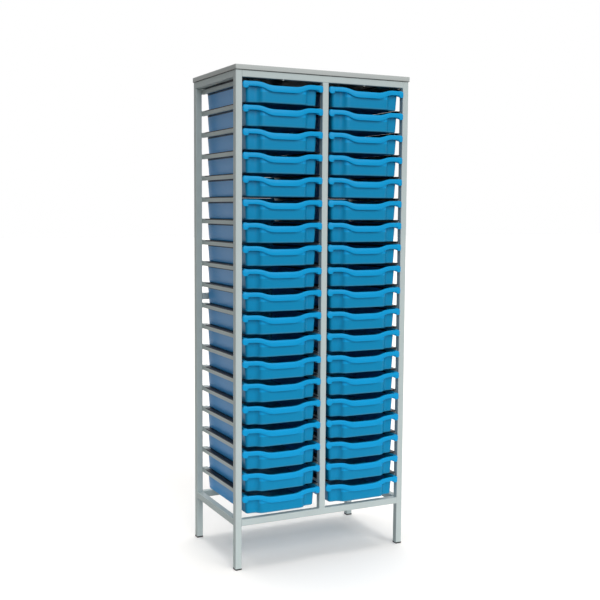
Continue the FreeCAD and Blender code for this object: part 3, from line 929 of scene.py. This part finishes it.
    def brim_points(self, station: Station) -> list[Point]:
        """Round the small bead where the inner face turns over into the top."""
        points = []
        x, _ = self.wall_point(station, 0.0, self.wall)
        share = self.pocket_share(station)
        for sine, cosine in quarter_turn(3)[1:]:
            out, z = self.bead * (1 - cosine), self.top(station, x) - self.bead * (1 - sine)
            plan = self.wall_point(station, z, self.wall - out)
            if share > 0:
                plan = part_way(plan, self.pocket_point(station, out), share)
            points.append((*plan, z))
        return points

    def edge_points(self, station: Station) -> list[Point]:
        """Round the outer top edge, down the skirt, and back up inside it."""
        points = []
        soft, tip = self.edge(station), self.wall / 2
        for sine, cosine in quarter_turn(4):
            x, y = self.rim_point(station, soft * (1 - sine))
            points.append((x, y, self.top(station, x) - soft * (1 - cosine)))
        outer, _ = self.rim_point(station, 0.0)
        for sine, cosine in ((0.0, 1.0), (0.7, 0.7), (1.0, 0.0), (0.7, -0.7), (0.0, -1.0)):
            plan = self.rim_point(station, tip * (1 - cosine))
            points.append((*plan, self.skirt(station, outer) + tip * (1 - sine)))
        return points

    def stub_share(self, station: Station) -> float:
        """How far a station is along the end stub's outline, under 0 ahead of the stub."""
        if station.stretch is Stretch.WING:
            x, _ = self.rim_point(station, 0.0)
            return (x - self.half_top) / (2 * (self.lip_half - self.half_top))
        if station.stretch is Stretch.CORNER:
            return 0.5 + 0.4 * station.share
        return 0.95 if self.on_lip(station) and station.stretch is Stretch.KNOB else -1.0

    def under_points(self, station: Station) -> list[Point]:
        """Along the underside, from inside the skirt to the wall's outer face."""
        outer, _ = self.rim_point(station, 0.0)
        root, along = self.root(station), self.stub_share(station)
        start = (*self.rim_point(station, self.wall), self.roof(station, outer))
        end = (*self.wall_point(station, root, -self.bead), root)
        if along < 0:
            return [start, part_way(start, end, 1 / 3), part_way(start, end, 2 / 3)]
        y = self.lip_front(self.half_top) + self.wall
        y += (self.stub_back - self.hair - y) * along
        return [start, (self.half_top + self.wall, y, self.lip_high - self.wall),
                (self.half_top + self.hair, y, root)]

    def base_points(self, station: Station, inset: float, floor: float) -> list[Point]:
        """Round the turn from the wall at this inset down to the floor."""
        radius = self.base_radius - inset
        return [self.on_wall(station, floor + radius * (1 - sine), inset + radius * (1 - cosine))
                for sine, cosine in quarter_turn(5)]

    def section(self, station: Station) -> list[Point]:
        """The moulding's whole section, from the inner floor over the rim to the underside."""
        floor, root = -self.height, self.root(station)
        ridge = self.base_radius + self.foot_inset
        return [*reversed(self.base_points(station, self.wall, floor + self.wall)),
                *self.pocket_points(station), *self.brim_points(station),
                *self.edge_points(station), *self.under_points(station),
                self.on_wall(station, root, -self.bead),
                self.on_wall(station, root - self.bead, 0.0),
                *self.base_points(station, 0.0, floor),
                self.on_wall(station, floor, ridge),
                self.on_wall(station, floor + self.foot_height, ridge + self.foot_height / 2)]

    def stub_plate(self, side: float) -> tuple[list[Point], list]:
        """Plate that closes the left (-1) or right (1) end stub behind, ahead of the post."""
        inner, outer = self.half_top + self.hair, self.rim_half - self.hair
        high, low = self.lip_high - self.wall / 2, self.low_end + self.wall / 2
        outline = [(inner, high), (outer, high), (outer, low + MM), (outer - MM, low),
                   (inner, low)]
        return lofted([[(side * x, y, z) for x, z in outline]
                       for y in (self.stub_back - self.wall, self.stub_back - self.hair)])

    def build(self, name: str, material: Material) -> Piece:
        """Build the tray's mesh in its own frame: half of it laid out, and its mirror image."""
        halves = zip(*(self.section(station) for station in self.stations))
        points, faces = lofted([[*half, *((-x, y, z) for x, y, z in reversed(half[1:-1]))]
                                for half in halves])
        for side in (-1.0, 1.0):
            more, more_faces = self.stub_plate(side)
            faces += [tuple(corner + len(points) for corner in face) for face in more_faces]
            points += more
        return new_piece(name, points, faces, material, sharp=32.0)


@dataclass
class TrayColumns:
    """Both columns of trays, one moulding repeated at every level."""

    levels: int = 19
    shell: TrayShell = field(default_factory=TrayShell)
    finish: TrayPlastic = field(default_factory=TrayPlastic)

    def build(self) -> list[Piece]:
        """Build every tray in the place of its own plain solid."""
        pieces: list[Piece] = []
        material = self.finish.material()
        for column in ("left", "right"):
            for number in range(1, self.levels + 1):
                pieces.append(self.place(f"{column}_tray_{number:02d}", pieces, material))
        return pieces

    def place(self, node: str, made: list[Piece], material: Material) -> Piece:
        """Put one tray where its solid is.

        Args:
            node: The solid's name.
            made: Trays made so far, whose mesh is shared.
            material: The trays' finish.

        Returns:
            The tray.
        """
        low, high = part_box(node)
        name = node.replace("tray", "shallow_tray")
        if made:
            piece = bpy.data.objects.new(name, made[0].data)
            bpy.context.scene.collection.objects.link(piece)
        else:
            piece = self.shell.build(name, material)
        piece.location = ((low.x + high.x) / 2, high.y - self.shell.rim_rear,
                          high.z - self.shell.stop_rise)
        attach(piece, f"{node}_body")
        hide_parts(node)
        LOG.info("tray %s on %s_body", piece.name, node)
        return piece


# --- steel frame
@dataclass
class WeldBeads:
    """Short fillet welds, coated with the frame, gathered into one mesh."""

    leg: float = 2.6 * MM
    ripple: float = 0.12 * MM
    ripple_pitch: float = 1.8 * MM
    arc_steps: int = 4
    end_slope: float = 4.0
    end_rise: float = 0.25
    hollow: float = 0.14
    points: list[Point] = field(default_factory=list)
    faces: list[tuple[int, ...]] = field(default_factory=list)

    def add(self, middle: Vector, along: Vector, first: Vector, second: Vector,
            length: float) -> None:
        """Add one bead in the inside corner of two faces.

        Args:
            middle: The middle of the corner's line.
            along: Direction of the line.
            first: Direction in which one face leaves the line.
            second: Direction in which the other face leaves it.
            length: Length of the bead.
        """
        steps = max(4, round(2 * length / self.ripple_pitch))
        rings = []
        for step in range(steps + 1):
            share = step / steps
            rise = min(1.0, self.end_slope * min(share, 1 - share) + self.end_rise)
            leg = self.leg * math.sqrt(rise) + self.ripple * math.cos(math.pi * step)
            centre = middle + along * (length * (share - 0.5))
            ring = [centre]
            for sine, cosine in quarter_turn(self.arc_steps):
                bulge = 1 - self.hollow * (1 - abs(sine - cosine))
                ring.append(centre + (first * cosine + second * sine) * leg * bulge)
            rings.append([tuple(point) for point in ring])
        points, faces = lofted(rings)
        self.faces += [tuple(corner + len(self.points) for corner in face) for face in faces]
        self.points += points

    def build(self, name: str, material: Material) -> Piece:
        """Make the gathered beads into a piece of the frame."""
        piece = new_piece(name, self.points, self.faces, material, sharp=60.0)
        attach(piece, FRAME_BODY)
        LOG.info("weld beads %s, %d faces", name, len(self.faces))
        return piece


@dataclass
class SteelFrame:
    """Tubes and runners with their welds, all in one powder coat."""

    nodes: dict[str, Piece]
    levels: int = 19
    tube: float = 25 * MM
    flat: float = 19 * MM
    tack: float = 7 * MM
    tack_middle: float = 4 * MM
    runner_height: float = 18 * MM
    coat: Material = field(init=False)
    runner_coat: Material = field(init=False)

    def __post_init__(self) -> None:
        """Mix the coat once for the tubes and once for the runners."""
        self.coat = PowderCoat().material()
        self.runner_coat = RunnerCoat().material()

    def dress(self) -> None:
        """Coat every tube and runner."""
        for name, node in self.nodes.items():
            if name.endswith(("_post", "_rail", "_rails", "_runners")):
                runners = name.endswith("_runners")
                node.data.materials.clear()
                node.data.materials.append(self.runner_coat if runners else self.coat)
                LOG.info("powder coat on %s", name)

    def rail_welds(self, beads: WeldBeads, name: str, axis: int, faces: Sequence[Vector]) -> None:
        """Weld both ends of a tube to what it meets.

        Args:
            beads: Where the beads go.
            name: The tube.
            axis: 0, 1 or 2 for a tube along X, Y or Z.
            faces: Outward directions of the sides that carry a bead.
        """
        low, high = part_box(name)
        for end, inward in ((low, 1.0), (high, -1.0)):
            along_tube = Vector([inward if part == axis else 0.0 for part in range(3)])
            centre = (low + high) / 2
            centre[axis] = end[axis]
            for outward in faces:
                across = along_tube.cross(outward)
                beads.add(centre + outward * self.tube / 2, across, along_tube, outward,
                          self.flat)

    def build_tube_welds(self) -> Piece:
        """Weld rails and middle posts at their ends, on the sides that aren't ground flush."""
        beads = WeldBeads()
        right, back, up = Vector((1, 0, 0)), Vector((0, 1, 0)), Vector((0, 0, 1))
        for level, sides in (("top", [-up]), ("bottom", [up, -up])):
            for side, axis, inward in (("front", 0, back), ("rear", 0, -back),
                                       ("left", 1, right), ("right", 1, -right)):
                self.rail_welds(beads, f"{level}_{side}_rail", axis, [*sides, inward])
        self.rail_welds(beads, "front_middle_post", 2, [-right, right, back])
        self.rail_welds(beads, "rear_middle_post", 2, [-right, right, -back])
        self.rail_welds(beads, "rear_cross_rails", 0, [up, -up, -back])
        return beads.build("tube_weld_beads", self.coat)

    def build_runner_welds(self) -> Piece:
        """Tack each runner to its front and rear post, above and below."""
        beads = WeldBeads(leg=1.8 * MM, arc_steps=3)
        along = Vector((0, 1, 0))
        runners = {"left_side_runners": 1.0, "left_middle_runners": -1.0,
                   "right_middle_runners": 1.0, "right_side_runners": -1.0}
        for name, inward in runners.items():
            low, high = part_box(name)
            post_face = low.x if inward > 0 else high.x
            pitch = (high.z - low.z - self.runner_height) / (self.levels - 1)
            into_bay = Vector((inward, 0, 0))
            for level in range(self.levels):
                base = low.z + level * pitch
                for y in (low.y + self.tack_middle, high.y - self.tack_middle):
                    for z, away in ((base + self.runner_height, 1.0), (base, -1.0)):
                        beads.add(Vector((post_face, y, z)), along, into_bay,
                                  Vector((0, 0, away)), self.tack)
        return beads.build("runner_weld_beads", self.coat)

    def build(self) -> None:
        """Dress the tubes and runners and add their welds."""
        self.dress()
        self.build_tube_welds()
        self.build_runner_welds()


@dataclass
class Fittings:
    """The feet and the screws, whose solids keep their shape."""

    nodes: dict[str, Piece]
    glide: GlidePlastic = field(default_factory=GlidePlastic)
    zinc: ZincSteel = field(default_factory=ZincSteel)

    def dress(self) -> None:
        """Give both their finish."""
        for name, finish in (("feet", self.glide), ("panel_screws", self.zinc)):
            materials = self.nodes[name].data.materials
            materials.clear()
            materials.append(finish.material())
            LOG.info("%s dressed", name)


# --- board
@dataclass
class TopBoard:
    """The board on top: a faced slab inside a band that goes round its four edges."""

    face: BoardFace = field(default_factory=BoardFace)
    band: EdgeBand = field(default_factory=EdgeBand)
    band_thickness: float = 1.2 * MM
    corner: float = 3 * MM
    band_round: float = 0.9 * MM
    face_round: float = 0.25 * MM
    least_radius: float = 0.3 * MM
    corner_steps: int = 6

    def outline(self, inset: float, z: float) -> list[Point]:
        """A rectangle with round corners.

        Args:
            inset: How far in from the board's edge.
            z: Its height.

        Returns:
            Its points in order.
        """
        low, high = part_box("top_panel")
        radius = max(self.corner - inset, self.least_radius)
        near = inset + radius
        centres = [(high.x - near, high.y - near), (low.x + near, high.y - near),
                   (low.x + near, low.y + near), (high.x - near, low.y + near)]
        points = []
        for quarter, (x, y) in enumerate(centres):
            for step in range(self.corner_steps + 1):
                turn = math.pi / 2 * (quarter + step / self.corner_steps)
                points.append((x + radius * math.cos(turn), y + radius * math.sin(turn), z))
        return points

    def build_slab(self) -> Piece:
        """The faced slab, which stands for the board's solid."""
        low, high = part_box("top_panel")
        inset, soft = self.band_thickness, self.face_round
        rings = [self.outline(inset + soft, low.z), self.outline(inset, low.z + soft),
                 self.outline(inset, high.z - soft), self.outline(inset + soft, high.z)]
        piece = new_piece("top_board", *lofted(rings), self.face.material())
        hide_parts("top_panel")
        return piece

    def build_band(self) -> Piece:
        """The edge band, as a closed ring with softened outer edges."""
        low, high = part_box("top_panel")
        soft, inner = self.band_round, self.band_thickness
        rings = [self.outline(inner, high.z - soft / 4)]
        rings += [self.outline(soft * (1 - sine), high.z - soft * (1 - cosine))
                  for sine, cosine in quarter_turn(4)]
        rings += [self.outline(soft * (1 - sine), low.z + soft * (1 - cosine))
                  for sine, cosine in reversed(quarter_turn(4))]
        rings.append(self.outline(inner, low.z + soft / 4))
        return new_piece("board_edge_band", *lofted(rings, closed=True), self.band.material())

    def build(self) -> list[Piece]:
        """Build both pieces of the board."""
        pieces = [self.build_slab(), self.build_band()]
        for piece in pieces:
            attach(piece, FRAME_BODY)
            LOG.info("board piece %s", piece.name)
        return pieces


# --- studio
@dataclass(frozen=True)
class Softbox:
    """A broad soft lamp, far away."""

    name: str
    level: float
    azimuth: float
    elevation: float
    softness: float

    def build(self) -> Piece:
        """Light the scene from the lamp's side.

        Returns:
            The lamp. A white face square to it looks as bright as its level.
        """
        azimuth, elevation = math.radians(self.azimuth), math.radians(self.elevation)
        towards = Vector((math.sin(azimuth) * math.cos(elevation),
                          -math.cos(azimuth) * math.cos(elevation), math.sin(elevation)))
        light = bpy.data.lights.new(self.name, "SUN")
        light.energy = math.pi * self.level
        light.angle = math.radians(self.softness)
        lamp = bpy.data.objects.new(self.name, light)
        bpy.context.scene.collection.objects.link(lamp)
        lamp.rotation_euler = towards.to_track_quat("Z", "Y").to_euler()
        return lamp


@dataclass
class Studio:
    """Pale floor, soft light and the camera."""

    half_floor: float = 40.0
    floor_seen: Point = (0.92, 0.9, 0.875)
    floor_bounce: float = 0.6
    far_bounce: float = 0.12
    near_floor: float = 0.7
    far_floor: float = 2.2
    floor_glow: float = 0.13
    ambient: float = 0.24
    key: Softbox = Softbox("soft_key", 0.83, 1.0, 22.0, 60.0)
    overhead: Softbox = Softbox("soft_overhead", 0.6, 178.0, 84.0, 36.0)
    rim: Softbox = Softbox("soft_rim", 0.25, 145.0, 8.0, 60.0)
    camera_place: Point = (-1.70915, -3.45833, 1.33587)
    camera_yaw: float = 0.4594
    camera_pitch: float = 0.092
    camera_roll: float = 0.0065
    sensor: float = 36.0
    focal_pixels: float = 974.79
    picture_side: float = 600.0

    def seen_share(self, shader: Shader) -> Value:
        """1 for rays from the camera, from glossy surfaces and through glass, else 0."""
        path = shader.node("ShaderNodeLightPath")
        kinds = [Value(shader, path.outputs[name])
                 for name in ("Is Camera Ray", "Is Glossy Ray", "Is Transmission Ray")]
        either = shader.maths("MAXIMUM", kinds[0], kinds[1])
        return shader.maths("MAXIMUM", either, kinds[2])

    def build_floor(self) -> Piece:
        """A pale floor that keeps the object's shadow and runs out to white."""
        shader = Shader.named("studio_floor")
        reach = shader.node("ShaderNodeVectorMath", {"operation": "LENGTH"},
                            {0: shader.place()})
        away = Value(shader, reach.outputs["Value"]).between(self.near_floor, self.far_floor)
        bounced = shader.mix(away, grey(self.floor_bounce), grey(self.far_bounce))
        bounce, seen = [shader.node("ShaderNodeBsdfDiffuse", inputs={"Color": colour})
                        for colour in (bounced, (*self.floor_seen, 1.0))]
        glow = shader.node("ShaderNodeEmission", inputs={"Strength": self.floor_glow})
        bright = shader.node("ShaderNodeAddShader", inputs={0: seen.outputs[0],
                                                            1: glow.outputs[0]})
        floor_mix = shader.node("ShaderNodeMixShader", inputs={
            0: self.seen_share(shader), 1: bounce.outputs[0], 2: bright.outputs[0]})
        shader.node("ShaderNodeOutputMaterial", inputs={"Surface": floor_mix.outputs[0]})
        side = self.half_floor
        corners = [(-side, -side, 0.0), (side, -side, 0.0), (side, side, 0.0), (-side, side, 0.0)]
        floor = new_piece("studio_floor", corners, [(0, 1, 2, 3)], shader.owner)
        return floor

    def build_world(self) -> None:
        """White where it is seen, and a softer even light on the object."""
        shader = Shader(bpy.data.worlds.new("studio_world"))
        bpy.context.scene.world = shader.owner
        seen = self.seen_share(shader)
        strength = self.ambient + (1.0 - self.ambient) * seen
        back = shader.node("ShaderNodeBackground", inputs={"Color": grey(1.0),
                                                           "Strength": strength})
        shader.node("ShaderNodeOutputWorld", inputs={"Surface": back.outputs[0]})

    def build_camera(self) -> Piece:
        """The camera, at standing eye height to the front left."""
        yaw, pitch, roll = self.camera_yaw, self.camera_pitch, self.camera_roll
        forward = Vector((math.sin(yaw) * math.cos(pitch), math.cos(yaw) * math.cos(pitch),
                          -math.sin(pitch)))
        level_right = Vector((math.cos(yaw), -math.sin(yaw), 0.0))
        level_up = level_right.cross(forward)
        right = level_right * math.cos(roll) + level_up * math.sin(roll)
        up = level_up * math.cos(roll) - level_right * math.sin(roll)
        data = bpy.data.cameras.new("camera")
        data.sensor_width = self.sensor
        data.lens = self.sensor * self.focal_pixels / self.picture_side
        camera = bpy.data.objects.new("camera", data)
        bpy.context.scene.collection.objects.link(camera)
        turn = Matrix((right, up, -forward)).transposed().to_4x4()
        camera.matrix_world = Matrix.Translation(self.camera_place) @ turn
        bpy.context.scene.camera = camera
        return camera

    def build(self) -> None:
        """Set up camera, light and floor."""
        bpy.context.scene.view_settings.view_transform = "Standard"
        self.build_camera()
        self.build_world()
        for softbox in (self.key, self.overhead, self.rim):
            softbox.build()
        self.build_floor()


def main() -> None:
    """Build the looks of the whole unit around its frame."""
    logging.basicConfig(level=logging.INFO, format="%(name)s: %(message)s")
    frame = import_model()
    Studio().build()
    SteelFrame(frame["nodes"]).build()
    Fittings(frame["nodes"]).dress()
    TopBoard().build()
    TrayColumns().build()


if __name__ == "__main__":
    main()
